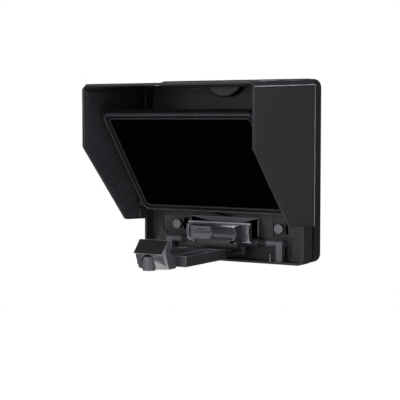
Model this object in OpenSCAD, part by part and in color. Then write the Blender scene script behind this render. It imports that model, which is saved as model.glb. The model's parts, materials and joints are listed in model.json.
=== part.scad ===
// Folding teleprompter: a shallow tray with a lens window, a tilted beam-splitter
// glass, a folding hood and a telescopic clamp that holds a phone or tablet under
// the glass. Millimetres, +X right, +Y towards the camera lens, +Z up. The origin
// is the mouth of the tripod thread. Shapes are drawn from the tray's front rim
// (y = 0 there), and place() moves them so that the tripod thread is at the origin.

/* [Rear frame] */
// Width of the rear frame and of the tray
frame_w = 191.4; // [188:0.2:196]
// Height of the rear frame
frame_h = 190; // [189:0.5:194]
// Depth of the rear frame
frame_d = 14; // [13:0.5:18]
// Corner radius of the rear frame
frame_r = 9; // [6:0.5:12]
// Height of the lens axis above the bottom
lens_z = 102; // [98:1:106]
// Radius of the threaded lens ring's bore
lens_thread_r = 38.5; // [36:0.5:40]

/* [Tray] */
// Height of the tray
tray_h = 184.4; // [183.6:0.1:184.6]
// Depth of the tray behind its front rim
tray_d = 20; // [20:0.5:20.5]
// Thickness of the tray's walls
tray_wall = 2.4; // [2:0.1:2.6]
// Depth of the tray's front cavity
cavity_d = 14; // [13.8:0.1:14.2]

/* [Glass] */
// Angle between the glass and the horizontal
glass_angle = 52; // [50:1:54]
// Width of the glass frame
glass_w = 176; // [172:1:176]
// Length of the glass frame along its slope
glass_l = 130; // [126:1:130]
// Width of the glass frame's border
glass_border = 7; // [6:0.5:9]
// Thickness of the glass pane
pane_t = 3; // [2:0.5:3]

/* [Hood] */
// Depth of the hood in front of the tray's rim
hood_d = 110; // [100:1:115]
// Thickness of the hood's boards
board_t = 2.3; // [2.2:0.1:2.4]
// Thickness of the felt lining
lining_t = 0.6; // [0.4:0.1:0.8]
// Downward slope of the hood's top, in degrees
hood_slope = 2.2; // [1.8:0.1:2.6]
// Distance of the fold line in front of the tray's rim
fold_y = 6.5; // [6:0.1:8]

/* [Holder] */
// Height of the face that a phone or tablet lies on
bed_z = 17.5; // [17.3:0.1:17.6]
// Width of the outer telescopic stage
sleeve_w = 56; // [54:1:58]
// Length of each telescopic stage
stage_l = 77; // [76:0.5:77]
// Distance from the tray's rim to the front jaw's foot
reach = 117; // [116:0.5:118]
// Width of the front jaw
front_jaw_w = 34.4; // [32:0.4:36]
// Width of the rear jaw's grooved body
rear_jaw_w = 52.6; // [50:0.4:54]

/* [Hidden] */
$fn = 48;
gap = 0.3;
origin_y = -(tray_d + 6 + frame_d / 2);   // tripod thread, on the frame's mid-plane

neck_d = 6;
neck_inset = 4.7;
frame_y = tray_d + neck_d;
frame_wall = 3;
plate_t = 3;
cover_t = 2;
rear_y = frame_y + frame_d;
window_r = 56;
seat_r = 52;
seat_flange_r = 61;
seat_screw_ring_r = 57;
seat_y = rear_y - 6;
ring_r = lens_thread_r + 5.5;
ring_lip_r = ring_r + 3;
lock_y = rear_y + 5;
boss_x = 84;                              // screw bosses: distance from the middle
boss_in = 10;                             // and from the frame's top and bottom
boss_pos = [for (z = [boss_in, frame_h / 2, frame_h - boss_in], s = [-1, 1]) [s * boss_x, z]];
screw_r = 1.5;
head_r = 2.8;
fit = 0.05;

tripod_r = 3.175;
insert_r = 5;
insert_l = 12;
boss_half = 9;
boss_h = 14;

inner_w = frame_w - 2 * tray_wall;
dock_z = [26, 46];                        // block in the middle of the back wall
dock_window_x = 32;                       // dark windows beside the rear jaw
dock_window_half = 6;
dock_window_z = [26.5, 39];
tab_r = 23.2;                             // half-moon tab and how far it hangs down
tab_drop = 10.5;
tab_trim_w = 1.6;
rest_pin_r = 1.2;
rest_pin_x = 57;
rest_pin_y = 1.6;
rest_pin_top = 9.6;
hood_x = frame_w / 2 + board_t;           // outer face of the hood's sides
hood_back_y = tray_d;
hood_back_z = tray_h + 3.8;               // top surface at the hood's rear edge
corner_in = 4.5;                          // how far the corner strip cuts into the top
corner_drop = 4.4;                        // and how far down the side
side_gap = 0.4;
fold_r = board_t / 2;
fold_clear = 1.6;
wire_r = 0.5;
wire_fit = 0.05;
knuckles = 6;
nose_z = 120.5;                           // lower end of the hood's vertical front edge
heel_c = [-31.6, 50];                     // centre of the rounded heel, in (y, z)
heel_r = 8;
foot_z = [41, 39];                        // lower edge of the hood's sides, at the rim and at the rear

glass_y = -12.7;                          // lower front edge of the glass frame
glass_z = 51.7;
glass_t = 6.4;
bead_w = 1.2;
bead_h = 0.8;
pivot_u = 6;                              // glass pivot, along the slope
pivot_v = -3.6;                           // and behind the frame's front face
pivot_y = glass_y - pivot_u * cos(glass_angle) - pivot_v * sin(glass_angle);
pivot_z = glass_z + pivot_u * sin(glass_angle) - pivot_v * cos(glass_angle);
glass_pin_r = 2;
bracket_x = 89.3;
bracket_screw_r = 1.4;
bracket_screw_y = 7;
bracket_screw_dz = [-5, 5];               // from the pivot's height

axle_y = 6;
axle_z = 21;
axle_r = 2.5;
barrel_r = 4.4;
ear_x = [51, 70];
barrel_x = 42.7;                          // half length of the holder's barrel
slide_wall = 1.6;
bed_floor_z = 7;
mid_w = sleeve_w - 2 * slide_wall - 2 * gap;
mid_z = [bed_floor_z + slide_wall + gap, bed_z - slide_wall - gap];
base_w = mid_w - 2 * slide_wall - 2 * gap;
base_z = [mid_z[0] + slide_wall + gap, mid_z[1] - slide_wall - gap];
tongue_z = [bed_z + 0.5, bed_z + 3.5];
mid_front = -reach + 21;                  // middle stage's front end at rest
mid_l = stage_l - 1.5;
base_front = -stage_l + 1.2;
jaw_front = -141;
jaw_foot_z = 5.5;
button_r = 6.3;
button_top = 17.7;
button_y = jaw_front + 2.6;
arch_z = button_top - 4.8;                // centre of the hollow's round top
stem_r = 2.2;
stem_z = 12;
stem_end = -130;
stem_bore_end = -121;
latch_x = 61.5;
latch_z = 35.5;
latch_travel = 4.5;
latch_stem_r = 1.5;
press = 2.5;                              // travel of the release button

// ---------- helpers ----------

module place() translate([0, origin_y, 0]) children();

module rounded_rect(w, h, r) {
    square([w - 2 * r, h], center = true);
    square([w, h - 2 * r], center = true);
    for (sx = [-1, 1], sz = [-1, 1])
        translate([sx * (w / 2 - r), sz * (h / 2 - r)]) circle(r);
}

// Upright slab with rounded corners, from y to y + d, its bottom at z
module slab(w, h, d, r, y = 0, z = 0)
    translate([0, y + d, z + h / 2]) rotate([90, 0, 0]) linear_extrude(d) rounded_rect(w, h, r);

// Cylinder along X, Y or Z between two coordinates
module rod_x(r, x0, x1, y, z) translate([x0, y, z]) rotate([0, 90, 0]) cylinder(r = r, h = x1 - x0);
module rod_y(r, y0, y1, x, z) translate([x, y0, z]) rotate([-90, 0, 0]) cylinder(r = r, h = y1 - y0);
module rod_z(r, z0, z1, x, y) translate([x, y, z0]) cylinder(r = r, h = z1 - z0);

// Box between two corners
module box(a, b) translate(a) cube(b - a);

// Prism along X from x0 to x1 of an outline in (y, z)
module prism_x(points, x0, x1)
    translate([x0, 0, 0]) rotate([90, 0, 90]) linear_extrude(x1 - x0) polygon(points);

module mirrored(side) mirror([side < 0 ? 1 : 0, 0, 0]) children();

// ---------- tray ----------

module tray() color("#2b2a2f") place() difference() {
    union() {
        difference() {
            slab(frame_w, tray_h, tray_d, 7);
            slab(inner_w, tray_h - 2 * tray_wall, cavity_d + 1, 5, -1, tray_wall);
            slab(inner_w - 14, tray_h - 20, 4, 4, cavity_d + 3, 10);
        }
        difference() {
            slab(frame_w - 2 * neck_inset, tray_h - 12, neck_d, 5, tray_d, 6);
            slab(frame_w - 24, tray_h - 22, neck_d + 2, 4, tray_d - 1, 11);
        }
    }
    rod_y(window_r, 0, tray_d, 0, lens_z);
    latch_pocket(-81, -50);
    latch_pocket(54, 70);
    for (x = [-latch_x, latch_x])
        box([x + 6, cavity_d - 1, 29.5], [x + (x < 0 ? 14 : 10), tray_d + 1, 42.5]);
    dock_windows(tray_d + 1);
    for (s = [-1, 1])
        box([s * 75 - 0.8, cavity_d - 1, 5.6], [s * 75 + 0.8, cavity_d + 1.6, 27]);
    for (s = [-1, 1])
        rod_z(rest_pin_r, tray_wall - 0.9, tray_wall + 0.1, s * rest_pin_x, rest_pin_y);
}

// Shallow pocket in the back wall, with a slot right through for the latch's stem
module latch_pocket(x0, x1) {
    side = sign(x0);
    box([x0, cavity_d - 1, 27.2], [x1, cavity_d + 1.8, 44]);
    mid = side * (latch_x - latch_travel / 2);
    half = latch_travel / 2 + latch_stem_r + gap;
    slot_half = latch_stem_r + 0.2;
    box([mid - half, cavity_d, latch_z - slot_half], [mid + half, cavity_d + 4, latch_z + slot_half]);
}

// Two dark windows beside the rear jaw, through the back wall
module dock_windows(y1) {
    for (s = [-1, 1])
        box([s * dock_window_x - dock_window_half, 8, dock_window_z[0]],
            [s * dock_window_x + dock_window_half, y1, dock_window_z[1]]);
}

// Raised block in the middle of the back wall
module dock_block() color("#6d6c72") place() difference() {
    box([-43, 9, dock_z[0]], [39.5, cavity_d, dock_z[1]]);
    dock_windows(cavity_d + 1);
    box([-20, 8, dock_z[0] - 1], [20, cavity_d - 1, 34]);
}

// Half-moon tab that hangs from the tray's top wall
module tab_outline(r) intersection() {
    translate([0, tray_h - tray_wall - tab_drop + 24.6]) circle(r, $fn = 96);
    translate([-40, tray_h - tray_wall - 30]) square([80, 30]);
}

module pull_tab() color("#77767c") place()
    translate([0, 6, 0]) rotate([90, 0, 0]) linear_extrude(1.6) tab_outline(tab_r);

module tab_trim() color("#151517") place()
    translate([0, 6.2, 0]) rotate([90, 0, 0]) linear_extrude(2) difference() {
        tab_outline(tab_r + tab_trim_w);
        tab_outline(tab_r);
    }

module rest_pins() color("#d8d8da") place()
    for (s = [-1, 1])
        rod_z(rest_pin_r, tray_wall - 0.9, rest_pin_top, s * rest_pin_x, rest_pin_y);

// ---------- hood ----------

function hood_z(y) = hood_back_z - (hood_back_y - y) * tan(hood_slope);
function side_z(y) = hood_z(y) - corner_drop - side_gap;
fold_z = hood_z(-fold_y) - fold_r;
fold_x = hood_x - fold_r;

// Frame of the sloping top: z = 0 on its surface, y = 0 at its rear edge
module on_slope() translate([0, hood_back_y, hood_back_z]) rotate([hood_slope, 0, 0]) children();
function slope_y(y) = (y - hood_back_y) / cos(hood_slope);

// Outline in (y, z) of a hood's side flap between two depths, inset all round
function side_outline(y0, y1, inset) = concat(
    [[y1, side_z(y1) - inset], [y0, side_z(y0) - inset], [y0, nose_z + inset]],
    [for (a = [224 : 11 : 268]) heel_c + (heel_r - inset) * [cos(a), sin(a)]],
    [[y1, foot_z[0] + inset]]);

// Bevelled corner between the top and a side; its foot runs down by skirt
module strip_outline(skirt) polygon([
    [hood_x - corner_in, 0],
    [hood_x, -corner_drop],
    [hood_x, -corner_drop - skirt],
    [hood_x - 1.3, -corner_drop - skirt],
    [hood_x - 1.3, -corner_drop],
    [hood_x - corner_in, -1.7]]);

// Corner strip of the right side, between two depths
module corner_strip(y0, y1, skirt = 0.01) on_slope()
    translate([0, slope_y(y1), 0]) rotate([90, 0, 0])
        linear_extrude(slope_y(y1) - slope_y(y0)) strip_outline(skirt);

module top_board(y0, y1, half_w, t0, t1) on_slope()
    box([-half_w, slope_y(y0), -t1], [half_w, slope_y(y1), -t0]);

// Knuckle k of a fold line that runs from a to b: its two ends
function knuckle(a, b, k) = [for (end = [0, 1])
    a + (b - a) * (k + end) / knuckles + (1 - 2 * end) * gap / 2];
web = fold_clear + 0.5;                   // a knuckle's web reaches into its board
side_fold = [46, 177];
top_fold = [-88, 88];

// Knuckles of a side's fold line: the flap has the odd ones, the collar the even ones
module side_knuckles(odd, dir) for (k = [odd : 2 : knuckles - 1]) {
    ends = knuckle(side_fold[0], side_fold[1], k);
    difference() {
        union() {
            rod_z(fold_r, ends[0], ends[1], fold_x, -fold_y);
            box([fold_x - fold_r, min(-fold_y, -fold_y + dir * web), ends[0]],
                [fold_x + fold_r, max(-fold_y, -fold_y + dir * web), ends[1]]);
        }
        rod_z(wire_r + wire_fit, ends[0] - 1, ends[1] + 1, fold_x, -fold_y);
    }
}

module top_knuckles(odd, dir) for (k = [odd : 2 : knuckles - 1]) {
    ends = knuckle(top_fold[0], top_fold[1], k);
    difference() {
        union() {
            rod_x(fold_r, ends[0], ends[1], -fold_y, fold_z);
            box([ends[0], min(-fold_y, -fold_y + dir * web), fold_z - fold_r],
                [ends[1], max(-fold_y, -fold_y + dir * web), fold_z + fold_r]);
        }
        rod_x(wire_r + wire_fit, ends[0] - 1, ends[1] + 1, -fold_y, fold_z);
    }
}

// Fixed skirt around the tray that carries the three folding flaps
module hood_collar() color("#37363b") place() {
    y0 = -fold_y + fold_clear;
    top_board(y0, hood_back_y, hood_x - corner_in, 0, board_t);
    top_knuckles(0, 1);
    for (s = [-1, 1]) mirrored(s) {
        corner_strip(y0, hood_back_y, 1.5);
        prism_x([[hood_back_y, side_z(hood_back_y) + side_gap], [y0, side_z(y0) + side_gap],
                 [y0, foot_z[0]], [0, foot_z[0]], [hood_back_y, foot_z[1]]], hood_x - board_t, hood_x);
        side_knuckles(0, 1);
    }
}

module fold_wires() color("#b9b9bd") place() {
    rod_x(wire_r, top_fold[0], top_fold[1], -fold_y, fold_z);
    for (s = [-1, 1])
        rod_z(wire_r, side_fold[0], side_fold[1], s * fold_x, -fold_y);
}

module hood_top() color("#37363b") place() {
    top_board(-hood_d, -fold_y - fold_clear, hood_x - corner_in, 0, board_t);
    top_knuckles(1, -1);
}

module hood_top_lining() color("#2d2b31") place()
    top_board(-hood_d + 2, -fold_y - fold_clear - 0.4, hood_x - corner_in - 1.6, board_t, board_t + lining_t);

module hood_corner_left() color("#403f45") place()
    mirrored(-1) corner_strip(-hood_d, -fold_y - fold_clear);

module hood_corner_right() color("#403f45") place()
    corner_strip(-hood_d, -fold_y - fold_clear);

module side_flap() {
    prism_x(side_outline(-hood_d, -fold_y - fold_clear, 0), hood_x - board_t, hood_x);
    side_knuckles(1, -1);
}

module side_lining()
    prism_x(side_outline(-hood_d + 2, -fold_y - fold_clear - 0.4, 2),
            hood_x - board_t - lining_t, hood_x - board_t);

module hood_left() color("#37363b") place() mirrored(-1) side_flap();
module hood_left_lining() color("#2d2b31") place() mirrored(-1) side_lining();
module hood_right() color("#37363b") place() side_flap();
module hood_right_lining() color("#2d2b31") place() side_lining();

// ---------- rear frame and lens ring ----------

module frame_ring(inset, y, d)
    slab(frame_w - 2 * inset, frame_h - 2 * inset, d, frame_r - inset, y, inset);

module back_frame() color("#232226") place() difference() {
    union() {
        difference() {
            union() {
                frame_ring(1.2, frame_y, 1.2);
                frame_ring(0, frame_y + 1.2, frame_d - 1.2);
            }
            frame_ring(frame_wall, frame_y + plate_t, frame_d);
        }
        box([-boss_half, frame_y + 1, 1], [boss_half, rear_y - cover_t, boss_h]);
        for (p = boss_pos)
            rod_y(4, frame_y + 1, rear_y - cover_t, p[0], p[1]);
    }
    rod_y(window_r, frame_y - 1, rear_y, 0, lens_z);
    rod_z(insert_r, -1, insert_l, 0, frame_y + frame_d / 2);
    for (p = boss_pos)
        rod_y(screw_r, rear_y - 9, rear_y, p[0], p[1]);
}

module rear_cover() color("#2a292d") place() difference() {
    slab(frame_w - 2 * frame_wall - 0.4, frame_h - 2 * frame_wall - 0.4, cover_t,
         frame_r - frame_wall, rear_y - cover_t, frame_wall + 0.2);
    rod_y(seat_r + gap, rear_y - cover_t - 1, rear_y + 1, 0, lens_z);
    for (p = boss_pos)
        rod_y(screw_r, rear_y - cover_t - 1, rear_y + 1, p[0], p[1]);
    for (a = [45 : 90 : 315])
        rod_y(screw_r, rear_y - cover_t - 1, rear_y + 1, seat_screw_x(a), seat_screw_z(a));
}

// Round-headed screw whose head stands on the face at y
module screw_y(y, l, x, z) difference() {
    union() {
        rod_y(head_r, y, y + 1.6, x, z);
        rod_y(screw_r, y - l, y, x, z);
    }
    translate([x, y + 2, z]) rotate([90, 0, 0]) cylinder(r = 1.3, h = 1.2, $fn = 6);
}

module cover_screws() color("#8f8f94") place()
    for (p = boss_pos) screw_y(rear_y, 8.5, p[0], p[1]);

function seat_screw_x(a) = seat_screw_ring_r * cos(a);
function seat_screw_z(a) = lens_z + seat_screw_ring_r * sin(a);

// Turned ring about the lens axis, from an outline in (radius, y)
module lens_turn(points)
    translate([0, 0, lens_z]) rotate([-90, 0, 0]) rotate_extrude($fn = 96) polygon(points);

module lens_seat() color("#1f1e22") place() difference() {
    union() {
        lens_turn([[ring_r + fit, seat_y], [seat_r, seat_y], [seat_r, rear_y], [seat_flange_r, rear_y],
                   [seat_flange_r, rear_y + 2], [ring_r + fit, rear_y + 2]]);
        box([ring_lip_r + 2, rear_y + 1, lens_z - 5], [ring_lip_r + 18, rear_y + 9.6, lens_z + 5]);
    }
    rod_x(2 + fit, ring_lip_r, ring_lip_r + 20, lock_y, lens_z);
    for (a = [45 : 90 : 315])
        rod_y(screw_r, rear_y - 1, rear_y + 3, seat_screw_x(a), seat_screw_z(a));
}

module seat_screws() color("#8f8f94") place()
    for (a = [45 : 90 : 315]) screw_y(rear_y + 2, 5.5, seat_screw_x(a), seat_screw_z(a));

module light_baffle() color("#141416") place()
    lens_turn([[ring_r + 1, frame_y + 0.6], [window_r, frame_y + 0.6], [window_r, frame_y + 2.4],
               [ring_r + 1, frame_y + 2.4]]);

module lens_ring() color("#3a3a3f") place() difference() {
    lens_turn([[lens_thread_r, seat_y - 1.6], [ring_r - 1, seat_y - 1.6], [ring_r - 1, seat_y],
               [ring_r, seat_y], [ring_r, rear_y + 2.3], [ring_lip_r, rear_y + 2.3],
               [ring_lip_r, rear_y + 8], [lens_thread_r, rear_y + 8]]);
    for (a = [0 : 10 : 350])
        rod_y(0.9, rear_y + 3.2, rear_y + 9, ring_lip_r * cos(a), lens_z + ring_lip_r * sin(a), $fn = 16);
}

module snap_ring() color("#b0b0b4") place()
    lens_turn([[ring_r - 1, seat_y - 1.6], [ring_r + 2.5, seat_y - 1.6], [ring_r + 2.5, seat_y - 0.3],
               [ring_r - 1, seat_y - 0.3]]);

module lock_screw() color("#9c9ca1") place() difference() {
    union() {
        rod_x(2, ring_lip_r + 0.5, ring_lip_r + 19, lock_y, lens_z);
        rod_x(4.4, ring_lip_r + 18.6, ring_lip_r + 26, lock_y, lens_z);
    }
    for (a = [0 : 30 : 330])
        rod_x(0.7, ring_lip_r + 19.6, ring_lip_r + 27,
              lock_y + 4.5 * cos(a), lens_z + 4.5 * sin(a), $fn = 16);
}

module tripod_insert() color("#c8a24c") place() difference() {
    rod_z(insert_r, 0, insert_l, 0, frame_y + frame_d / 2);
    rod_z(tripod_r, -1, insert_l - 1.5, 0, frame_y + frame_d / 2);
}

// ---------- glass ----------

// Frame of the glass: x across, y up the slope, z = 0 on the face that the presenter sees
module on_glass() translate([0, glass_y, glass_z]) rotate([180 - glass_angle, 0, 0]) children();

module pane_rect(inset, r)
    translate([0, glass_l / 2]) rounded_rect(glass_w - 2 * inset, glass_l - 2 * inset, r);

module glass_frame() color("#1d1c20") place() difference() {
    on_glass() difference() {
        translate([0, 0, -glass_t]) linear_extrude(glass_t - 1.4) pane_rect(0, 8);
        translate([0, 0, -glass_t - 1]) linear_extrude(glass_t + 2) pane_rect(glass_border, 4);
        translate([0, 0, -1.4 - pane_t]) linear_extrude(pane_t + 2) pane_rect(glass_border - 3.5, 5);
    }
    rod_x(glass_pin_r, -glass_w, glass_w, pivot_y, pivot_z);
}

module glass_bezel() color("#2c2b30") place() on_glass() {
    translate([0, 0, -1.4]) linear_extrude(1.4) difference() {
        pane_rect(0, 8);
        pane_rect(glass_border, 4);
    }
    linear_extrude(bead_h) difference() {
        pane_rect(1.4, 7);
        pane_rect(1.4 + bead_w, 6);
    }
}

module beam_splitter() color([0.05, 0.05, 0.06, 0.6]) place() on_glass()
    translate([0, 0, -1.7 - pane_t + 0.6]) linear_extrude(pane_t - 0.6) pane_rect(glass_border - 3, 4.5);

module glass_gasket() color("#0d0d0e") place() on_glass()
    translate([0, 0, -1.7]) linear_extrude(0.3) difference() {
        pane_rect(glass_border - 3, 4.5);
        pane_rect(glass_border, 4);
    }

module glass_pins() color("#b9b9bd") place()
    for (s = [-1, 1])
        rod_x(glass_pin_r, s > 0 ? glass_w / 2 - 3 : -inner_w / 2 + 1,
              s > 0 ? inner_w / 2 - 1 : -glass_w / 2 + 3, pivot_y, pivot_z);

module friction_washers() color("#86868b") place()
    for (s = [-1, 1]) difference() {
        rod_x(4.2, s > 0 ? glass_w / 2 : -bracket_x + 0.15, s > 0 ? bracket_x - 0.15 : -glass_w / 2,
              pivot_y, pivot_z);
        rod_x(glass_pin_r, -inner_w, inner_w, pivot_y, pivot_z);
    }

module bezel_screws() color("#8f8f94") place() on_glass()
    for (s = [-1, 1], u = [22, glass_l / 2, glass_l - 22])
        translate([s * (glass_w / 2 - 1.7), u, -glass_t - 0.8]) cylinder(r = 1.5, h = 0.8);

// Arm on the tray's side wall that carries the glass pivot
module glass_bracket() difference() {
    union() {
        rod_x(5.6, bracket_x, inner_w / 2, pivot_y, pivot_z);
        prism_x([[pivot_y - 1, pivot_z - 5.6], [pivot_y + 1, pivot_z + 5.6],
                 [4, pivot_z + 9], [11, pivot_z + 9], [11, pivot_z - 9], [4, pivot_z - 9]],
                bracket_x, inner_w / 2);
    }
    rod_x(glass_pin_r + fit, bracket_x - 1, inner_w / 2 + 1, pivot_y, pivot_z);
    for (dz = bracket_screw_dz)
        rod_x(bracket_screw_r, bracket_x - 1, inner_w / 2 + 1, bracket_screw_y, pivot_z + dz);
}

module glass_bracket_left() color("#2b2a2f") place() mirrored(-1) glass_bracket();
module glass_bracket_right() color("#2b2a2f") place() glass_bracket();

module bracket_screws() color("#8f8f94") place()
    for (s = [-1, 1]) mirrored(s)
        for (dz = bracket_screw_dz) {
            rod_x(bracket_screw_r, bracket_x, inner_w / 2, bracket_screw_y, pivot_z + dz);
            rod_x(bracket_screw_r + 1, bracket_x - 1.2, bracket_x, bracket_screw_y, pivot_z + dz);
        }

// ---------- holder ----------

module axle_ears() color("#55545a") place() difference() {
    for (s = [-1, 1]) mirrored(s) {
        rod_x(3.4, ear_x[0], ear_x[1], axle_y, axle_z);
        box([ear_x[1] - 7, axle_y - 3.4, tray_wall], [ear_x[1], axle_y + 3.4, axle_z]);
        box([ear_x[0], axle_y, axle_z - 3.4], [ear_x[1], cavity_d, axle_z]);
    }
    rod_x(axle_r + fit, -ear_x[1] - 1, ear_x[1] + 1, axle_y, axle_z);
}

module holder_axle() color("#c4c4c8") place()
    rod_x(axle_r, -ear_x[1] + 0.5, ear_x[1] - 0.5, axle_y, axle_z);

// Sleeves on the axle that keep the holder in the middle
module axle_spacers() color("#19191b") place() difference() {
    for (s = [-1, 1]) mirrored(s)
        rod_x(3.1, barrel_x + gap, ear_x[0], axle_y, axle_z);
    rod_x(axle_r + fit, -ear_x[0], ear_x[0], axle_y, axle_z);
}

module hinge_block() color("#3b3a40") place() difference() {
    union() {
        rod_x(barrel_r, -barrel_x, barrel_x, axle_y, axle_z);
        box([-sleeve_w / 2 - 2, -19, tongue_z[0]], [sleeve_w / 2 + 2, axle_y, tongue_z[1]]);
        box([-sleeve_w / 2, 0, bed_floor_z + 1], [sleeve_w / 2, axle_y, tongue_z[1]]);
    }
    rod_x(axle_r + fit, -ear_x[0] - 1, ear_x[0] + 1, axle_y, axle_z);
    box([-mid_w / 2 - gap, axle_y - 8, mid_z[0] - gap], [mid_w / 2 + gap, 0.01, mid_z[1] + gap]);
}

module base_rail() color("#57565c") place() difference() {
    box([-base_w / 2, base_front, base_z[0]], [base_w / 2, 0, base_z[1]]);
    for (s = [-1, 1])
        box([s * base_w / 4 - 4, base_front + 7, base_z[0] - 1], [s * base_w / 4 + 4, -12, base_z[1] + 1]);
}

// Rectangular tube along y, with walls of slide_wall
module stage_tube(w, z, y0, y1) difference() {
    box([-w / 2, y0, z[0]], [w / 2, y1, z[1]]);
    box([-w / 2 + slide_wall, y0 - 1, z[0] + slide_wall], [w / 2 - slide_wall, y1 + 1, z[1] - slide_wall]);
}

module mid_stage() color("#4a494f") place()
    stage_tube(mid_w, mid_z, mid_front, mid_front + mid_l);

module front_sleeve() color("#37363b") place() difference() {
    union() {
        stage_tube(sleeve_w, [bed_floor_z, bed_z], -reach, -reach + stage_l);
        box([-sleeve_w / 2, -reach, bed_floor_z], [sleeve_w / 2, -reach + slide_wall, bed_z]);
    }
    for (s = [-1, 1])
        box([s * 17 - 5, -reach + 12, bed_z - 0.5], [s * 17 + 5, -reach + stage_l - 8, bed_z + 1]);
}

// Tall plate behind the rear jaw, with a raised rib at each end
module rear_plate() color("#8b8a90") place() {
    prism_x([[-1, tongue_z[1]], [-1, 40.6], [-2, 41.5], [-4, 41.5], [-5, 40.6], [-5, tongue_z[1]]], -37, 37);
    for (s = [-1, 1]) mirrored(s)
        prism_x([[-5, 40], [-8, 38], [-9.4, 32], [-8, 24], [-5, 22]], 34.4, 37);
}

groove_top = [-21, 37.6];
groove_apex = [-15.6, 31];
groove_foot = [-21, 24.4];
groove_end = 1.5;                         // wall left at each end of the groove
pad_end_x = -2;                           // where the pad ends and the smooth hollow starts
hollow_r = 7.4;
hollow_y = -22.9;

module rear_jaw() color("#7c7b81") place() difference() {
    union() {
        prism_x([[-5, 39.4], [-14, 38.9], groove_top, groove_apex, groove_foot, [-19, 23.6], [-5, 23.6]],
                -rear_jaw_w / 2, rear_jaw_w / 2);
        box([-20, -17, tongue_z[1]], [20, -5, 23.6]);
    }
    // pocket for the ribbed pad on the left half
    prism_x([groove_top + [-1, 0.2], groove_top + [1.4, -0.6], groove_apex + [1.6, 0],
             groove_foot + [1.4, 0.6], groove_foot + [-1, -0.2], groove_apex + [-6, 0]],
            -rear_jaw_w / 2 + groove_end, pad_end_x);
    // smooth round hollow on the right half
    rod_x(hollow_r, pad_end_x, rear_jaw_w / 2 - groove_end, hollow_y, groove_apex[1]);
}

// Rubber pad in the groove, with ribs along x on both flanks
ribs = 3;
rib_share = 0.84;                         // share of a flank that is ribbed, from its lip
function lerp(a, b, t) = a + (b - a) * t;
function reversed(v) = [for (i = [len(v) - 1 : -1 : 0]) v[i]];
function rib_line(lip, apex, out) = [for (i = [0 : ribs - 1], k = [0 : 3])
    lerp(lip, apex, rib_share * (i + [0.06, 0.3, 0.7, 0.94][k]) / ribs) + (k == 1 || k == 2 ? out : [0, 0])];

module rear_jaw_pad() color("#5f5e64") place()
    prism_x(concat(
        rib_line(groove_top + [0.2, -0.25], groove_apex, [-0.9, -0.7]), [groove_apex],
        reversed(rib_line(groove_foot + [0.2, 0.25], groove_apex, [-0.9, 0.7])),
        [groove_foot + [1.4, 0.6], groove_apex + [1.6, 0], groove_top + [1.4, -0.6]]),
        -rear_jaw_w / 2 + groove_end, pad_end_x);

module jaw_screws() color("#8f8f94") place()
    for (s = [-1, 1], y = [-14, -8])
        rod_z(2.2, tongue_z[1], tongue_z[1] + 1.4, s * 25, y);

jaw_top = [-129, 33.5];
jaw_lip = [-124.5, 27];
jaw_apex = [-128.6, 21.6];
jaw_brow = [jaw_front + 0.6, 21.6];       // front edge of the sloping top
jaw_heel = [-122.5, 17.99];               // the rubber strip's lower end, on the groove's floor
cap_t = 1.4;
cap_in = [-0.9, -1.5];                    // from the cap's top edge to the body under it
corner_x = 11;                            // where the front face ends and its bevels start

// Clamp's front jaw: a groove faces the device, and the front corners are cut under
module front_jaw() color("#45444a") place() difference() {
    prism_x([jaw_top + cap_in, jaw_lip + [-1.4, -0.6], jaw_apex, [-reach - 4, bed_z - 0.4],
             [-reach, bed_z - 2], [-reach, jaw_foot_z + 1], [-reach - 1.5, jaw_foot_z],
             [jaw_front + 1, jaw_foot_z], [jaw_front, jaw_foot_z + 1],
             [jaw_front, jaw_brow[1] - cap_t], [jaw_brow[0] + 1.3, jaw_brow[1] - cap_t]],
            -front_jaw_w / 2, front_jaw_w / 2);
    for (s = [-1, 1]) mirrored(s) {
        translate([corner_x, jaw_front, 0]) rotate([0, 0, 42]) box([0, -20, 0], [30, 0, 40]);
        translate([corner_x, jaw_front, jaw_brow[1] - cap_t]) rotate([20.3, 0, 34.7])
            box([-20, -20, -30], [30, 0, 10]);
    }
    arch();
    rod_y(stem_r + fit, jaw_front, stem_bore_end, 0, stem_z);
}

// Arched hollow that the release button sits in, with room for its travel
module arch() intersection() {
    r = button_r + 0.9;
    floor_z = jaw_foot_z - 1;
    back_y = button_y + press + gap;
    union() {
        rod_z(r, floor_z, button_top + 4, 0, back_y);
        box([-r, jaw_front - 1, floor_z], [r, back_y, button_top + 4]);
    }
    union() {
        rod_y(r, jaw_front - 1, back_y + r, 0, arch_z);
        box([-r, jaw_front - 1, floor_z], [r, back_y + r, arch_z]);
    }
}

// Textured cap on the jaw's sloping top
module front_jaw_cap() color("#2b2a2f") place()
    prism_x([jaw_top + cap_in, [jaw_brow[0] + 1.3, jaw_brow[1] - cap_t],
             [jaw_front + 0.2, jaw_brow[1] - cap_t], jaw_brow, jaw_top,
             jaw_lip + [0, 0.4], jaw_lip + [-1.4, -0.6]],
            -front_jaw_w / 2 + 0.6, front_jaw_w / 2 - 0.6);

// Rubber strip folded into the jaw's groove
module front_jaw_pad() color("#232226") place()
    prism_x([jaw_lip + [-1.4, -0.6], jaw_apex, jaw_heel, jaw_heel + [0.5, 0.86], jaw_apex + [1.36, 0.37],
             jaw_lip + [-0.53, -1.09]], -front_jaw_w / 2 + 2, front_jaw_w / 2 - 2);

module release_button() color("#7f7e85") place() {
    rod_z(button_r, jaw_foot_z - 0.7, button_top - 2.7, 0, button_y);
    translate([0, button_y, button_top - 2.7]) cylinder(r1 = button_r, r2 = button_r - 1.7, h = 2.7);
    rod_y(stem_r, button_y, stem_end, 0, stem_z);
}

module button_spring() color("#c4c4c8") place() difference() {
    rod_y(stem_r - 0.1, stem_end + 0.2, stem_bore_end - 0.2, 0, stem_z);
    rod_y(stem_r - 0.7, stem_end, stem_bore_end, 0, stem_z);
}

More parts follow.
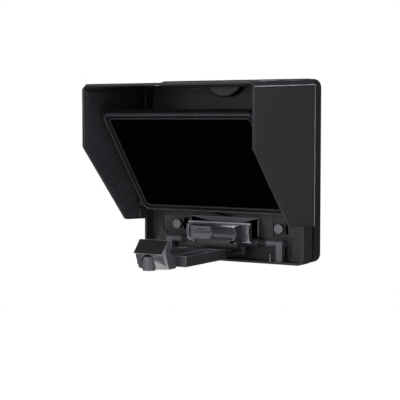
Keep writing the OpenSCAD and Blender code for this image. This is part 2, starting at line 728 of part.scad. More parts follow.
// Sliding latch: a knob in front of the back wall and a washer behind it
module latch() {
    // each step: radius and the depth where it ends, from the back wall's face
    steps = [[4.8, -0.3], [2.3, 1.5], [latch_stem_r, 3.3], [3.4, 4.8]];
    starts = [-3.6, -0.3, 1.5, 3.3];
    for (i = [0 : len(steps) - 1])
        rod_y(steps[i][0], cavity_d + starts[i], cavity_d + steps[i][1], latch_x, latch_z);
}

module latch_left() color("#98979d") place() mirrored(-1) latch();
module latch_right() color("#98979d") place() latch();

// ---------- assembly ----------

tray();
dock_block();
pull_tab();
tab_trim();
rest_pins();
hood_collar();
fold_wires();
hood_top();
hood_top_lining();
hood_corner_left();
hood_corner_right();
hood_left();
hood_left_lining();
hood_right();
hood_right_lining();
back_frame();
rear_cover();
cover_screws();
lens_seat();
seat_screws();
light_baffle();
lens_ring();
snap_ring();
lock_screw();
tripod_insert();
glass_bracket_left();
glass_bracket_right();
bracket_screws();
glass_frame();
glass_bezel();
beam_splitter();
glass_gasket();
glass_pins();
friction_washers();
bezel_screws();
axle_ears();
axle_spacers();
holder_axle();
hinge_block();
base_rail();
rear_plate();
rear_jaw();
rear_jaw_pad();
jaw_screws();
mid_stage();
front_sleeve();
front_jaw();
front_jaw_cap();
front_jaw_pad();
release_button();
button_spring();
latch_left();
latch_right();
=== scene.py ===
import json
import math

import bmesh
import bpy
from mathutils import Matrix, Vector


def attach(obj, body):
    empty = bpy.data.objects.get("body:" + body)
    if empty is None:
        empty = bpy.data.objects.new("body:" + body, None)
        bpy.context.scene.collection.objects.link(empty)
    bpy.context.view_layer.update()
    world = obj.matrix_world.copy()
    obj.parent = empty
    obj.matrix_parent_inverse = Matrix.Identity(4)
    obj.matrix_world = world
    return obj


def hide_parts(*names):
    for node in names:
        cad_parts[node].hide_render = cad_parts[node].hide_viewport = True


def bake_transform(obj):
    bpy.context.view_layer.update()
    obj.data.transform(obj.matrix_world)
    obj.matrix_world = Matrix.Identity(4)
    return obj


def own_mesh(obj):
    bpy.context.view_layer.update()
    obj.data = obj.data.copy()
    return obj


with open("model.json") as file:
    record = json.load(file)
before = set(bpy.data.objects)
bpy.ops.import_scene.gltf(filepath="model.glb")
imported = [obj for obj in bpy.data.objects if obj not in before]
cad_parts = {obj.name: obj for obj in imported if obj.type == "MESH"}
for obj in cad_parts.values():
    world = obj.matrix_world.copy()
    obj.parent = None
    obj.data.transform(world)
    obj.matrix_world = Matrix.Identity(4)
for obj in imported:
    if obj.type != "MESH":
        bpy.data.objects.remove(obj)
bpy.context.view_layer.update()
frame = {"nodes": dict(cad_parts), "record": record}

MM = 0.001
RIM_Y = -0.033          # the tray's front rim, in the row frame


def rim(x, y, z):
    """A point in millimetres measured from the tray's front rim, in the row frame."""
    return Vector((x * MM, y * MM + RIM_Y, z * MM))


def new_object(name, data):
    obj = bpy.data.objects.new(name, data)
    bpy.context.scene.collection.objects.link(obj)
    return obj


# ---------- camera and lights ----------

CAMERA_AT = (0.6205, -1.1224, 0.1472)
CAMERA_LENS, CAMERA_SENSOR = 107.9, 36
CAMERA_TURN, CAMERA_DOWN = math.radians(30.68), math.radians(3.80)

MIDDLE = (0, -0.05, 0.1)
SKY_FORWARD, SKY_SPREAD, SKY_STRENGTH = (0.25, 0.45, -1.0), math.radians(90), 2.5
WORLD_LIT, WORLD_SEEN = 0.09, 1.0       # the world's strength for the part, and as the background

# name: (place, target, size, power)
AREA_LIGHTS = {
    "key": ((1.5, -0.5, 0.9), MIDDLE, (0.7, 0.7), 3),
    "front_fill": ((-0.2, -1.7, 0.2), MIDDLE, (1.0, 0.5), 13),
    "facet_strip": ((1.05, -0.95, -0.05), (0, -0.15, 0.03), (0.3, 0.5), 2),
    "under_jaw": ((0.17, -0.40, -0.28), (0, -0.17, 0.02), (0.08, 0.08), 0.22),
    "back_rim": ((1.2, 0.9, 0.5), MIDDLE, (0.25, 1.0), 2.5),
    "rear_fill": ((-0.9, 1.3, 0.6), MIDDLE, (0.8, 0.8), 11),
}


def aim(obj, forward):
    obj.rotation_mode = "QUATERNION"
    obj.rotation_quaternion = Vector(forward).to_track_quat("-Z", "Y")


def make_camera():
    data = bpy.data.cameras.new("camera")
    data.sensor_width = CAMERA_SENSOR
    data.lens = CAMERA_LENS
    cam = new_object("camera", data)
    cam.location = CAMERA_AT
    level = math.cos(CAMERA_DOWN)
    aim(cam, (-math.sin(CAMERA_TURN) * level, math.cos(CAMERA_TURN) * level, -math.sin(CAMERA_DOWN)))
    bpy.context.scene.camera = cam


def area_light(name, place, target, size, power):
    data = bpy.data.lights.new(name, "AREA")
    data.shape = "RECTANGLE"
    data.size, data.size_y = size
    data.energy = power
    lamp = new_object(name, data)
    lamp.location = place
    aim(lamp, Vector(target) - Vector(place))
    lamp.visible_camera = False


def sky_light():
    data = bpy.data.lights.new("soft_sky", "SUN")
    data.angle = SKY_SPREAD
    data.energy = SKY_STRENGTH
    aim(new_object("soft_sky", data), SKY_FORWARD)


def make_world():
    """A white background that lights the part only faintly."""
    world = bpy.data.worlds.new("studio")
    world.use_nodes = True
    tree = world.node_tree
    background = tree.nodes["Background"]
    background.inputs["Color"].default_value = (1, 1, 1, 1)
    seen = tree.nodes.new("ShaderNodeLightPath").outputs["Is Camera Ray"]
    level = tree.nodes.new("ShaderNodeMapRange")
    level.inputs["To Min"].default_value = WORLD_LIT
    level.inputs["To Max"].default_value = WORLD_SEEN
    tree.links.new(seen, level.inputs["Value"])
    tree.links.new(level.outputs["Result"], background.inputs["Strength"])
    bpy.context.scene.world = world
    bpy.context.scene.view_settings.view_transform = "Standard"


# ---------- materials ----------

def scaled(colour, k):
    return tuple(min(1.0, c * k) for c in colour)


class Shader:
    """A small helper for building a node material."""

    def __init__(self, name):
        self.material = bpy.data.materials.new(name)
        self.material.use_nodes = True
        self.tree = self.material.node_tree
        self.bsdf = self.tree.nodes["Principled BSDF"]
        self.coords = self.add("ShaderNodeTexCoord").outputs["Object"]

    def add(self, kind, **settings):
        node = self.tree.nodes.new(kind)
        for key, value in settings.items():
            setattr(node, key, value)
        return node

    def link(self, source, target):
        self.tree.links.new(source, target)

    def colour(self, source):
        self.link(source, self.bsdf.inputs["Base Color"])

    def roughness(self, source):
        self.link(source, self.bsdf.inputs["Roughness"])

    def put(self, **values):
        """Sets constants on the surface's sockets."""
        for key, value in values.items():
            self.bsdf.inputs[key.replace("_", " ")].default_value = value

    def noise(self, scale, detail=3.0, rough=0.5, stretch=(1, 1, 1)):
        mapping = self.add("ShaderNodeMapping")
        mapping.inputs["Scale"].default_value = stretch
        self.link(self.coords, mapping.inputs["Vector"])
        node = self.add("ShaderNodeTexNoise")
        node.inputs["Scale"].default_value = scale
        node.inputs["Detail"].default_value = detail
        node.inputs["Roughness"].default_value = rough
        self.link(mapping.outputs["Vector"], node.inputs["Vector"])
        return node.outputs["Fac"]

    def cells(self, scale, feature="F1", output="Distance"):
        node = self.add("ShaderNodeTexVoronoi", feature=feature)
        node.inputs["Scale"].default_value = scale
        self.link(self.coords, node.inputs["Vector"])
        return node.outputs[output]

    def remap(self, value, low, high, to_low, to_high):
        node = self.add("ShaderNodeMapRange")
        ends = {"From Min": low, "From Max": high, "To Min": to_low, "To Max": to_high}
        for key, number in ends.items():
            node.inputs[key].default_value = number
        self.link(value, node.inputs["Value"])
        return node.outputs["Result"]

    def band(self, value, to_low, to_high):
        """Spreads the middle of a noise, where most of its values lie, over a range."""
        return self.remap(value, 0.3, 0.7, to_low, to_high)

    def mix(self, factor, a, b):
        """Mixes two colours, each a tuple or an output, by an output."""
        node = self.add("ShaderNodeMix", data_type="RGBA")
        self.link(factor, node.inputs["Factor"])
        for socket, value in ((node.inputs[6], a), (node.inputs[7], b)):
            if isinstance(value, tuple):
                socket.default_value = (*value, 1)
            else:
                self.link(value, socket)
        return node.outputs[2]

    def tones(self, factor, colour, dark, pale):
        """Two shades of one colour, mixed by an output."""
        return self.mix(factor, scaled(colour, dark), scaled(colour, pale))

    def join(self, operation, a, b):
        node = self.add("ShaderNodeMath", operation=operation)
        for socket, value in zip(node.inputs, (a, b)):
            if isinstance(value, (int, float)):
                socket.default_value = value
            else:
                self.link(value, socket)
        return node.outputs[0]

    def bump(self, height, strength, distance):
        node = self.add("ShaderNodeBump")
        node.inputs["Strength"].default_value = strength
        node.inputs["Distance"].default_value = distance
        self.link(height, node.inputs["Height"])
        self.link(node.outputs["Normal"], self.bsdf.inputs["Normal"])


def plastic(name, colour, rough, level):
    """Moulded plastic: fine spark-eroded grain, slight mottling and smudges in its gloss."""
    s = Shader(name)
    base = s.tones(s.band(s.noise(26, 4, 0.6), 0, 1), colour, 1 - 0.16, 1 + 0.16)
    speck = s.remap(s.noise(620, 2, 0.6), 0.35, 0.7, 0, 0.35)
    s.colour(s.mix(speck, base, scaled(colour, 1.7)))
    smudge = s.band(s.noise(14, 5, 0.62), -0.05, 0.07)
    s.roughness(s.join("ADD", smudge, rough))
    s.bump(s.noise(1400, 2, 0.6), 0.35, 0.03 * MM)
    s.put(Specular_IOR_Level=level)
    return s.material


def hood_skin(name, colour, rough, level):
    """Coated board: a fine pebble grain pressed into a dark skin."""
    s = Shader(name)
    pebble = s.cells(1100, "SMOOTH_F1")
    mottle = s.noise(18, 5, 0.6)
    base = s.tones(s.band(mottle, 0, 1), colour, 0.9, 1.1)
    s.colour(s.mix(s.remap(pebble, 0.1, 0.6, 0, 0.35), base, scaled(colour, 0.55)))
    s.roughness(s.band(mottle, rough - 0.05, rough + 0.06))
    s.bump(pebble, 0.25, 0.08 * MM)
    s.put(Specular_IOR_Level=level)
    return s.material


def felt(name, colour):
    """Short-napped felt: random fibres in two tones, pale flecks, soft bump and sheen."""
    s = Shader(name)
    fibre = s.noise(620, 5, 0.8)
    tone = s.tones(s.remap(fibre, 0.38, 0.62, 0, 1), colour, 0.35, 1.7)
    fleck = s.add("ShaderNodeRGBToBW")
    s.link(s.cells(900, "F1", "Color"), fleck.inputs[0])
    tone = s.mix(s.remap(fleck.outputs[0], 0.6, 0.9, 0, 0.6), tone, scaled(colour, 3.4))
    shade = s.add("ShaderNodeMix", data_type="RGBA", blend_type="MULTIPLY")
    shade.inputs["Factor"].default_value = 1
    s.link(tone, shade.inputs[6])
    s.link(s.band(s.noise(24, 4), 0.85, 1.15), shade.inputs[7])
    s.colour(shade.outputs[2])
    s.bump(s.join("ADD", fibre, s.noise(300, 5, 0.7)), 0.5, 0.3 * MM)
    s.put(Roughness=0.95, Specular_IOR_Level=0.1, Sheen_Weight=0.12, Sheen_Roughness=0.5,
          Sheen_Tint=(0.7, 0.68, 0.75, 1))
    return s.material


def metal(name, colour, rough, stretch=(1, 1, 1)):
    """Machined or brushed metal, with fine lines along one direction where it is stretched."""
    s = Shader(name)
    lines = s.noise(900, 3, 0.6, stretch)
    s.colour(s.tones(s.band(lines, 0, 1), colour, 0.82, 1.12))
    s.roughness(s.band(s.noise(30, 4), rough - 0.06, rough + 0.09))
    s.bump(lines, 0.2, 0.02 * MM)
    s.put(Metallic=1.0)
    return s.material


def anodised(name, colour, rough, level):
    """Dark anodised aluminium: satin, faintly mottled, with a very fine grain."""
    s = Shader(name)
    fine = s.noise(1800, 2, 0.5)
    s.colour(s.tones(s.band(s.noise(40, 4), 0, 1), colour, 0.85, 1.15))
    s.roughness(s.band(fine, rough - 0.04, rough + 0.05))
    s.bump(fine, 0.2, 0.02 * MM)
    s.put(Metallic=0.75, Specular_IOR_Level=level)
    return s.material


def rubber(name, colour, rough, level):
    """Matt rubber with a little pale dust."""
    s = Shader(name)
    dust = s.noise(60, 6, 0.7)
    s.colour(s.tones(s.remap(dust, 0.35, 0.7, 0, 1), colour, 0.8, 1.5))
    s.roughness(s.band(dust, rough - 0.08, rough + 0.08))
    s.bump(s.noise(1600, 3, 0.7), 0.4, 0.05 * MM)
    s.put(Specular_IOR_Level=level)
    return s.material


def dark_glass(name):
    """Beam splitter in front of a dark chamber: near black, with a faint clean reflection."""
    s = Shader(name)
    haze = s.noise(9, 4, 0.6)
    s.colour(s.mix(s.band(haze, 0, 1), (0.0003, 0.0003, 0.0004), (0.0006, 0.0006, 0.0008)))
    s.roughness(s.band(haze, 0.015, 0.035))
    s.put(Specular_IOR_Level=0.012)
    return s.material


def cap_texture(name, colour, rough, level):
    """Rubbery cap with a fine crossed ribbing."""
    s = Shader(name)
    ribs = []
    for turn in (0.7, -0.7):
        mapping = s.add("ShaderNodeMapping")
        mapping.inputs["Rotation"].default_value = (0.75, 0, turn)
        s.link(s.coords, mapping.inputs["Vector"])
        wave = s.add("ShaderNodeTexWave", wave_type="BANDS", bands_direction="X")
        wave.inputs["Scale"].default_value = 520
        wave.inputs["Distortion"].default_value = 0.4
        s.link(mapping.outputs["Vector"], wave.inputs["Vector"])
        ribs.append(wave.outputs["Fac"])
    grid = s.join("MULTIPLY", *ribs)
    s.colour(s.tones(grid, colour, 0.6, 1.9))
    s.bump(grid, 0.6, 0.12 * MM)
    s.put(Roughness=rough, Specular_IOR_Level=level)
    return s.material


COOL = (1.0, 0.962, 1.15)         # the cool cast of all the dark plastics and coatings

# name: (maker, grey level, roughness, how much lighter its rounded edges are painted, as a painted highlight,
# gloss)
LOOKS = {
    "shell": (plastic, 0.0120, 0.42, 4.5, 0.28),
    "frame": (plastic, 0.0075, 0.30, 8.0, 0.28),
    "dock": (plastic, 0.048, 0.38, 2.5, 0.4),
    "holder": (plastic, 0.0165, 0.34, 9.0, 0.4),
    "jaw": (plastic, 0.034, 0.28, 12.0, 0.55),
    "front_jaw": (plastic, 0.044, 0.26, 9.0, 0.7),
    "button": (plastic, 0.062, 0.38, 2.5, 0.3),
    "latch": (plastic, 0.090, 0.36, 1.8, 0.4),
    "glass_frame": (plastic, 0.0060, 0.32, 5.0, 0.16),
    # pale plastic for the painted highlight lines round the glass frame
    "bead": (plastic, 0.036, 0.26, 1.0, 0.5),
    # pale plastic for the painted highlight lines along the hood's edges
    "welt": (plastic, 0.42, 0.32, 1.0, 0.3),
    "skin": (hood_skin, 0.0280, 0.50, 3.0, 0.22),
    "slide": (anodised, 0.03, 0.34, 3.0, 0.5),
    "ring": (anodised, 0.02, 0.34, 3.0, 0.5),
    "rubber": (rubber, 0.008, 0.75, 1.5, 0.35),
    "pad": (rubber, 0.045, 0.42, 8.0, 0.5),
    "cap": (cap_texture, 0.0045, 0.66, 45.0, 0.15),
}


def make_materials():
    made = {
        "felt": felt("hood_felt", (0.0160, 0.0151, 0.0192)),
        "steel": metal("brushed_steel", (0.62, 0.62, 0.64), 0.28, (1, 8, 8)),
        "screw": metal("dark_screw_steel", (0.16, 0.16, 0.17), 0.34),
        "brass": metal("machined_brass", (0.72, 0.55, 0.26), 0.3, (1, 1, 12)),
        "glass": dark_glass("beam_splitter_glass"),
    }
    for name, (maker, grey, rough, edge_highlight, level) in LOOKS.items():
        colour = scaled(COOL, grey)
        made[name] = maker(name, colour, rough, level)
        # a lighter copy of the material for the rounded edges: a painted highlight
        if edge_highlight > 1:
            made[name + "_edge"] = maker(name + "_edge", scaled(colour, edge_highlight), rough, level)
    return made


# ---------- CAD pieces ----------

BEVEL_SEGMENTS, BEVEL_ANGLE = 2, math.radians(28)
FLAT_ANGLE = math.radians(0.6)          # faces that meet at less than this are merged

# node: (material, width of the rounded edge in millimetres)
SOFT = {
    "tray": ("shell", 0.5),
    "dock_block": ("dock", 0.6),
    "pull_tab": ("dock", 0.3),
    "tab_trim": ("rubber", 0.3),
    "hood_collar": ("skin", 0.3),
    "hood_top": ("skin", 0.4),
    "hood_left": ("skin", 0.4),
    "hood_right": ("skin", 0.4),
    "hood_corner_left": ("skin", 0.15),
    "hood_corner_right": ("skin", 0.15),
    "back_frame": ("frame", 0.8),
    "rear_cover": ("shell", 0.4),
    "lens_seat": ("ring", 0.3),
    "lens_ring": ("ring", 0.25),
    "lock_screw": ("screw", 0.25),
    "light_baffle": ("shell", 0.2),
    "glass_bracket_left": ("shell", 0.4),
    "glass_bracket_right": ("shell", 0.4),
    "glass_frame": ("glass_frame", 0.35),
    "glass_bezel": ("glass_frame", 0.25),
    "beam_splitter": ("glass", 0.2),
    "axle_ears": ("dock", 0.4),
    "axle_spacers": ("rubber", 0.2),
    "hinge_block": ("holder", 0.4),
    "base_rail": ("slide", 0.3),
    "mid_stage": ("slide", 0.4),
    "front_sleeve": ("holder", 0.6),
    "rear_plate": ("jaw", 0.6),
    "rear_jaw": ("jaw", 0.8),
    "rear_jaw_pad": ("pad", 0.25),
    "front_jaw": ("front_jaw", 0.5),
    "front_jaw_cap": ("cap", 0.6),
    "front_jaw_pad": ("rubber", 0.2),
    "release_button": ("button", 0.5),
    "latch_left": ("latch", 0.4),
    "latch_right": ("latch", 0.4),
}

# nodes that are shown as they are
PLAIN = {
    "fold_wires": "screw",
    "cover_screws": "screw",
    "seat_screws": "screw",
    "snap_ring": "steel",
    "tripod_insert": "brass",
    "bracket_screws": "screw",
    "glass_gasket": "rubber",
    "glass_pins": "steel",
    "friction_washers": "steel",
    "bezel_screws": "screw",
    "holder_axle": "steel",
    "jaw_screws": "screw",
    "rest_pins": "screw",
}


def paint(obj, material):
    obj.data.materials.clear()
    obj.data.materials.append(material)


def smooth(obj, angle=30):
    mesh = obj.data
    mesh.polygons.foreach_set("use_smooth", [True] * len(mesh.polygons))
    mesh.set_sharp_from_angle(angle=math.radians(angle))


def soften(node, body, look, width):
    """A copy of a CAD node with rounded edges, which stands for it; where the look has an edge copy, the
    rounded edges carry a painted highlight in that lighter copy.
    """
    bm = bmesh.new()
    bm.from_mesh(frame["nodes"][node].data)
    bmesh.ops.remove_doubles(bm, verts=bm.verts, dist=1e-6)
    bmesh.ops.dissolve_limit(bm, angle_limit=FLAT_ANGLE, verts=bm.verts, edges=bm.edges)
    mesh = bpy.data.meshes.new(node + "_body")
    bm.to_mesh(mesh)
    bm.free()
    obj = new_object(node + "_body", mesh)
    paint(obj, M[look])
    bevel = obj.modifiers.new("soft_edges", "BEVEL")
    bevel.width = width
    bevel.segments = BEVEL_SEGMENTS
    bevel.limit_method = "ANGLE"
    bevel.angle_limit = BEVEL_ANGLE
    bevel.harden_normals = True
    bevel.use_clamp_overlap = True
    # the bevels take the lighter copy: a painted highlight along the edges
    if look + "_edge" in M:
        mesh.materials.append(M[look + "_edge"])
        bevel.material = 1
    smooth(obj)
    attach(obj, body)
    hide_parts(node)


def make_pieces():
    record = frame["record"]
    body_of = {n: body for body, nodes in record["behaviour"]["bodies"].items() for n in nodes}
    for node, (look, width) in SOFT.items():
        soften(node, body_of[node], look, width * MM)
    for node, look in PLAIN.items():
        paint(frame["nodes"][node], M[look])


# ---------- hood: skins, felt, folded edges and painted highlight lines ---
# All sizes here are millimetres from the tray's front rim, as in part.scad.

HOOD_X, BOARD, REAR_Y, FRONT_Y, FOLD_Y = 98.0, 2.3, 20.0, -110.0, -6.5
TOP_Z, SLOPE = 188.2, math.tan(math.radians(2.2))
CORNER_IN, CORNER_DROP, CORNER_GAP = 4.5, 4.4, 0.25
HEEL_Y, HEEL_Z, HEEL_R = -31.6, 50.0, 8.0
HEEL_START, HEEL_END = math.radians(224), math.radians(268)
FOOT_RIM, FOOT_REAR, NOSE_Z = 41.0, 39.0, 120.5
HIGHLIGHT_FOOT = 39.4                        # where the rear painted highlight line starts, just above the collar's foot

FOLD_HALF = 1.6                         # half the gap between a flap's board and the collar's
FOLD_STATIONS = [-3.2, -4.1, -4.9, -5.5, -6.0, -6.5, -7.0, -7.5, -8.1, -8.9, -9.8]
HEEL_STATIONS = [-30, -31.5, -32.6, -33.8, -35, -36, -37, -37.8]

FELT_IN = 2.0                           # the felt ends this far inside its flap

# lift: how far a skin stands off its board; over: how far a side's skin passes its board's top
SKIN_LIFT, SKIN_THICK, SKIN_OVER = 0.06, 0.3, 0.28
# gap: between a board and its felt; wave: the share of the skin's waves that the felt has
SIDE_FELT_GAP, SIDE_FELT_THICK = 0.12, 0.55
TOP_FELT_GAP, TOP_FELT_THICK, TOP_FELT_END = 0.16, 0.5, 1.8
FELT_WAVE = 0.6
# out: past the board's mid-plane; in: behind the hood's front; inset: above a side's lower edge
EDGE_R, EDGE_OUT, EDGE_IN, EDGE_INSET = 1.32, 0.15, 0.7, 0.8
EDGE_END, HIGHLIGHT_END = 1.8, 1.7           # how far from the fold line they stop
HIGHLIGHT_R, HIGHLIGHT_PIECES = 0.42, 8
CORNER_HIGHLIGHT_OUT, REAR_HIGHLIGHT_OUT, HIGHLIGHT_LOW = 0.12, 0.1, 0.1
SIDE_ROWS, TOP_ROWS = 26, 34
SKIN_STEP, FELT_STEP = 6, 5
CLEAR_SHARE = 0.35      # even stations this share of a step from a marked one are left out


def top_z(y):
    return TOP_Z - (REAR_Y - y) * SLOPE


def side_top(y):
    return top_z(y) - CORNER_DROP - CORNER_GAP


def skin_top(y):
    """Top edge of a side's skin, which closes the seam under the corner strip."""
    return side_top(y) + SKIN_OVER


def side_foot(y, inset=0.0):
    """Lower edge of a hood side at depth y, moved inwards by inset."""
    r = HEEL_R - inset
    arc_0 = (HEEL_Y + r * math.cos(HEEL_START), HEEL_Z + r * math.sin(HEEL_START))
    arc_1 = (HEEL_Y + r * math.cos(HEEL_END), HEEL_Z + r * math.sin(HEEL_END))
    if y >= 0:
        return FOOT_RIM + inset + (FOOT_REAR - FOOT_RIM) * y / REAR_Y
    if y >= arc_1[0]:
        t = (y - arc_1[0]) / (FOLD_Y - FOLD_HALF - arc_1[0])
        return arc_1[1] + (FOOT_RIM + inset - arc_1[1]) * min(t, 1)
    if y >= arc_0[0]:
        return HEEL_Z - math.sqrt(max(r * r - (y - HEEL_Y) ** 2, 0))
    t = (arc_0[0] - y) / (arc_0[0] - FRONT_Y)
    return arc_0[1] + (NOSE_Z + inset - arc_0[1]) * t


def stations(y0, y1, step, extra=()):
    """Depths from y0 down to y1, with the heel and any extra ones in between."""
    count = max(2, round((y0 - y1) / step))
    even = [y0 + (y1 - y0) * k / count for k in range(count + 1)]
    marks = [y for y in list(extra) + HEEL_STATIONS if y1 < y < y0]
    kept = [y for y in even if y in (y0, y1) or all(abs(y - m) > step * CLEAR_SHARE for m in marks)]
    return sorted(set(kept + marks), reverse=True)


def grid_sheet(name, columns, thickness, material, offset):
    """A sheet of cloth from columns of points of equal length, given a thickness."""
    rows = len(columns[0])
    mesh = bpy.data.meshes.new(name)
    faces = [(c * rows + r, c * rows + r + 1, (c + 1) * rows + r + 1, (c + 1) * rows + r)
             for c in range(len(columns) - 1) for r in range(rows - 1)]
    mesh.from_pydata([p for col in columns for p in col], [], faces)
    area = sum(f.area for f in mesh.polygons)
    obj = new_object(name, mesh)
    paint(obj, material)
    solid = obj.modifiers.new("thickness", "SOLIDIFY")
    solid.thickness = thickness * MM
    solid.offset = offset
    smooth(obj, 40)
    return obj, area


def ripple(a, b):
    """Very shallow waves, in millimetres, that a glued fabric keeps."""
    return 0.05 * math.sin(0.115 * a + 0.7) * math.sin(0.137 * b + 1.9) + 0.03 * math.sin(0.31 * a - 0.23 * b)


def side_columns(y_list, x, side, low, high, wave=1.0):
    """Columns of points up a hood side, from its lower edge to its upper one."""
    columns = []
    for y in y_list:
        z0, z1 = low(y), high(y)
        columns.append([])
        for r in range(SIDE_ROWS):
            z = z0 + (z1 - z0) * r / (SIDE_ROWS - 1)
            columns[-1].append(rim(side * (x + wave * (SKIN_LIFT + ripple(y, z))), y, z))
    return columns if side > 0 else [list(reversed(c)) for c in columns]


def flat_profile(half):
    """Points across the top board: how far from the middle, and how far below its face."""
    return [(half * (2 * k / (TOP_ROWS - 1) - 1), 0) for k in range(TOP_ROWS)]


def top_profile():
    """The same across the whole top skin, with a slanted corner strip at each side."""
    corner = [(HOOD_X - CORNER_IN * k / 3, CORNER_DROP * (1 - k / 3)) for k in range(3)]
    return [(-x, drop) for x, drop in corner] + flat_profile(HOOD_X - CORNER_IN) + corner[::-1]


def top_columns(y_list, profile, depth, wave=1.0):
    """Columns of points across the hood's top, depth below its face."""
    return [[rim(x, y, top_z(y) - depth - drop + wave * (SKIN_LIFT + (0 if drop else ripple(y, x))))
             for x, drop in profile] for y in y_list]


def tube(name, points, radius, body, material, closed=False):
    """A smooth round bar through the points."""
    data = bpy.data.curves.new(name, "CURVE")
    data.dimensions = "3D"
    data.bevel_depth = radius * MM
    data.bevel_resolution = 4
    data.use_fill_caps = True
    spline = data.splines.new("POLY")
    spline.points.add(len(points) - 1)
    for point, place in zip(spline.points, points):
        point.co = (*place, 1)
    spline.use_cyclic_u = closed
    obj = new_object(name, data)
    data.materials.append(material)
    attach(obj, body)


def fasten_skin(skin):
    """Moves a skin's placement into its mesh."""
    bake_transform(skin)


def fasten_felt(piece, flap, lining):
    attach(piece, flap)
    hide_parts(lining)


def skin_edge(name, points, body):
    """The skin folded round a board's free edge."""
    tube(name, points, EDGE_R, body, M["skin"])


def welt(name, points, body):
    """A painted highlight: a thin pale line along an edge of the hood."""
    tube(name, points, HIGHLIGHT_R, body, M["welt"])


def make_side(side, word, skin_depths, felt_depths):
    flap, board = word + "_flap", "hood_" + word
    columns = side_columns(skin_depths, HOOD_X, side, side_foot, skin_top)
    skin, area = grid_sheet("hood_skin_" + word, columns, SKIN_THICK, M["skin"], 1)
    fasten_skin(skin)

    columns = side_columns(felt_depths, HOOD_X - BOARD - SIDE_FELT_GAP, side,
                           lambda y: side_foot(y, FELT_IN), lambda y: side_top(y) - FELT_IN, FELT_WAVE)
    piece, area = grid_sheet("hood_felt_" + word, columns, SIDE_FELT_THICK, M["felt"], -1)
    fasten_felt(piece, flap, board + "_lining")

    # the edge cuts inside the board from the nose to the fold, then takes a chord past the heel
    x = side * (HOOD_X - BOARD / 2 + EDGE_OUT)
    nose = FRONT_Y + EDGE_IN
    edge = [rim(x, nose, side_top(FRONT_Y) - 0.6), rim(x, nose, NOSE_Z + 1.2)]
    y0, y1 = FOLD_Y - EDGE_END, FRONT_Y + 1.2
    edge += [rim(x, y, side_foot(y, EDGE_INSET)) for y in (y0, (y0 + y1) / 2, y1)]
    skin_edge("hood_edge_" + word, edge, flap)
    edge = [rim(x, y, side_foot(y, EDGE_INSET)) for y in (FOLD_Y + EDGE_END, 0, 10, REAR_Y - 1)]
    skin_edge("collar_edge_" + word, edge, "housing")

    # pale lines along the corner fold and the rear edge: painted highlights
    shares = [k / HIGHLIGHT_PIECES for k in range(HIGHLIGHT_PIECES + 1)]
    spans = ((FRONT_Y + 0.3, FOLD_Y - HIGHLIGHT_END, flap), (FOLD_Y + HIGHLIGHT_END, REAR_Y, "housing"))
    for y0, y1, body in spans:
        depths = [y0 + (y1 - y0) * share for share in shares]
        line = [rim(side * (HOOD_X + CORNER_HIGHLIGHT_OUT), y, side_top(y) - HIGHLIGHT_LOW) for y in depths]
        welt(f"corner_welt_{word}_{body}", line, body)
    heights = [HIGHLIGHT_FOOT + (side_top(REAR_Y) - HIGHLIGHT_FOOT) * share for share in shares]
    line = [rim(side * (HOOD_X + REAR_HIGHLIGHT_OUT), REAR_Y - 0.1, z) for z in heights]
    welt("rear_painted_highlight_line_" + word, line, "housing")


def make_top(skin_depths, felt_depths):
    columns = top_columns(skin_depths, top_profile(), 0.0)
    skin, area = grid_sheet("hood_skin_top", columns, SKIN_THICK, M["skin"], 1)
    fasten_skin(skin)

    half = HOOD_X - CORNER_IN - TOP_FELT_END
    columns = top_columns(felt_depths, flat_profile(half), BOARD + TOP_FELT_GAP, FELT_WAVE)
    piece, area = grid_sheet("hood_felt_top", columns, TOP_FELT_THICK, M["felt"], -1)
    fasten_felt(piece, "top_flap", "hood_top_lining")

    y = FRONT_Y + EDGE_IN
    half = HOOD_X - CORNER_IN
    edge = [rim(half * k / 8, y, top_z(y) - BOARD / 2 + EDGE_OUT) for k in range(-8, 9)]
    skin_edge("hood_edge_top", edge, "top_flap")


def make_hood():
    skin_depths = stations(REAR_Y, FRONT_Y, SKIN_STEP, FOLD_STATIONS)
    felt_depths = stations(FOLD_Y - FELT_IN, FRONT_Y + FELT_IN, FELT_STEP)
    for side, word in ((1, "right"), (-1, "left")):
        make_side(side, word, skin_depths, felt_depths)
    make_top(skin_depths, felt_depths)


# ---------- painted highlight lines round the glass ---

GLASS_Y, GLASS_Z, GLASS_W, GLASS_L = -12.7, 51.7, 176.0, 130.0
GLASS_TILT = math.radians(180 - 52)

# name: (how far inside the frame's outline, corner radius, line radius, how far out of the face)
PAINTED_GLASS_HIGHLIGHTS = {
    "bezel_painted_glass_highlight": (2.0, 6.5, 0.42, 0.75),
    "bezel_lip_painted_highlight": (6.9, 4.2, 0.35, 0.05),
}


def on_glass(x, up, out):
    """A point on the glass frame: across, up its slope and out of its face."""
    return rim(x, GLASS_Y + up * math.cos(GLASS_TILT) - out * math.sin(GLASS_TILT),
               GLASS_Z + up * math.sin(GLASS_TILT) + out * math.cos(GLASS_TILT))


def rounded_loop(w, h, r, steps=8):
    """Points of a rounded rectangle about the origin, counter-clockwise."""
    x, y = w / 2 - r, h / 2 - r
    loop = []
    for k, (cx, cy) in enumerate(((x, y), (-x, y), (-x, -y), (x, -y))):
        for i in range(steps + 1):
            a = math.radians(90 * k + 90 * i / steps)
            loop.append((cx + r * math.cos(a), cy + r * math.sin(a)))
    return loop


# pale tubes on the glass frame: painted highlights along its edges
def make_painted_glass_highlights():
    for name, (inset, corner, radius, out) in PAINTED_GLASS_HIGHLIGHTS.items():
        outline = rounded_loop(GLASS_W - 2 * inset, GLASS_L - 2 * inset, corner)
        loop = [on_glass(x, GLASS_L / 2 + v, out) for x, v in outline]
        tube(name, loop, radius, "glass_unit", M["bead"], closed=True)


# ---------- button spring ----------

SPRING_R, SPRING_WIRE, SPRING_TURNS, SPRING_Z = 1.7, 0.28, 7, 12.0
SPRING_FRONT, SPRING_BACK, PRESS = -129.7, -121.1, 2.5
WIRE_CORNERS, TURN_STEPS = 8, 24


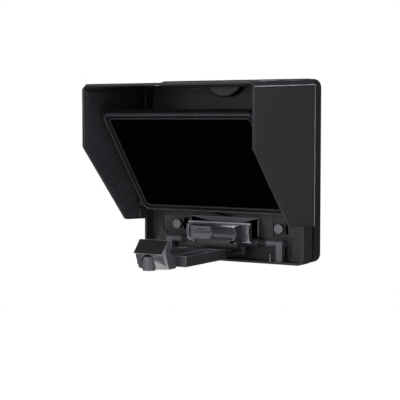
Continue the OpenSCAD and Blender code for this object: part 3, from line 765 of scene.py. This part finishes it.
def make_spring():
    """A round-wire coil behind the button."""
    ring, samples = WIRE_CORNERS, TURN_STEPS * SPRING_TURNS
    length = SPRING_BACK - SPRING_FRONT
    mesh = bpy.data.meshes.new("spring_coil")
    points, faces = [], []
    for k in range(samples + 1):
        turn = math.tau * SPRING_TURNS * k / samples
        y = SPRING_FRONT + SPRING_WIRE + (length - 2 * SPRING_WIRE) * k / samples
        for i in range(ring):
            a = math.tau * i / ring
            r = SPRING_R + SPRING_WIRE * math.cos(a)
            points.append(rim(r * math.cos(turn), y + SPRING_WIRE * math.sin(a),
                              SPRING_Z + r * math.sin(turn)))
    for k in range(samples):
        for i in range(ring):
            j = (i + 1) % ring
            faces.append((k * ring + i, (k + 1) * ring + i, (k + 1) * ring + j, k * ring + j))
    faces += [tuple(range(ring)), tuple(range(samples * ring + ring - 1, samples * ring - 1, -1))]
    mesh.from_pydata(points, [], faces)
    coil = new_object("spring_coil", mesh)
    paint(coil, M["steel"])
    smooth(coil, 60)
    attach(coil, "front_slide")
    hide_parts("button_spring")
    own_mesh(coil)


# ---------- floor ----------

FLOOR_Z, FLOOR_R, FLOOR_CORNERS = -0.32, 1.7, 64


def make_floor():
    """A plain white disc far below the part, left out of reflections so that the glass stays dark."""
    mesh = bpy.data.meshes.new("floor")
    turns = [math.tau * k / FLOOR_CORNERS for k in range(FLOOR_CORNERS)]
    ring = [(FLOOR_R * math.cos(a), FLOOR_R * math.sin(a), FLOOR_Z) for a in turns]
    mesh.from_pydata(ring, [], [tuple(range(FLOOR_CORNERS))])
    floor = new_object("floor", mesh)
    s = Shader("pale_floor")
    s.colour(s.mix(s.band(s.noise(3, 3), 0, 1), (0.90, 0.90, 0.90), (0.92, 0.92, 0.92)))
    s.put(Roughness=0.95, Specular_IOR_Level=0.0, Emission_Strength=0.22,
          Emission_Color=(1, 1, 1, 1))
    paint(floor, s.material)
    floor.visible_glossy = False


make_camera()
sky_light()
for light, settings in AREA_LIGHTS.items():
    area_light(light, *settings)
make_world()
M = make_materials()
make_pieces()
make_hood()
make_painted_glass_highlights()
make_spring()
make_floor()
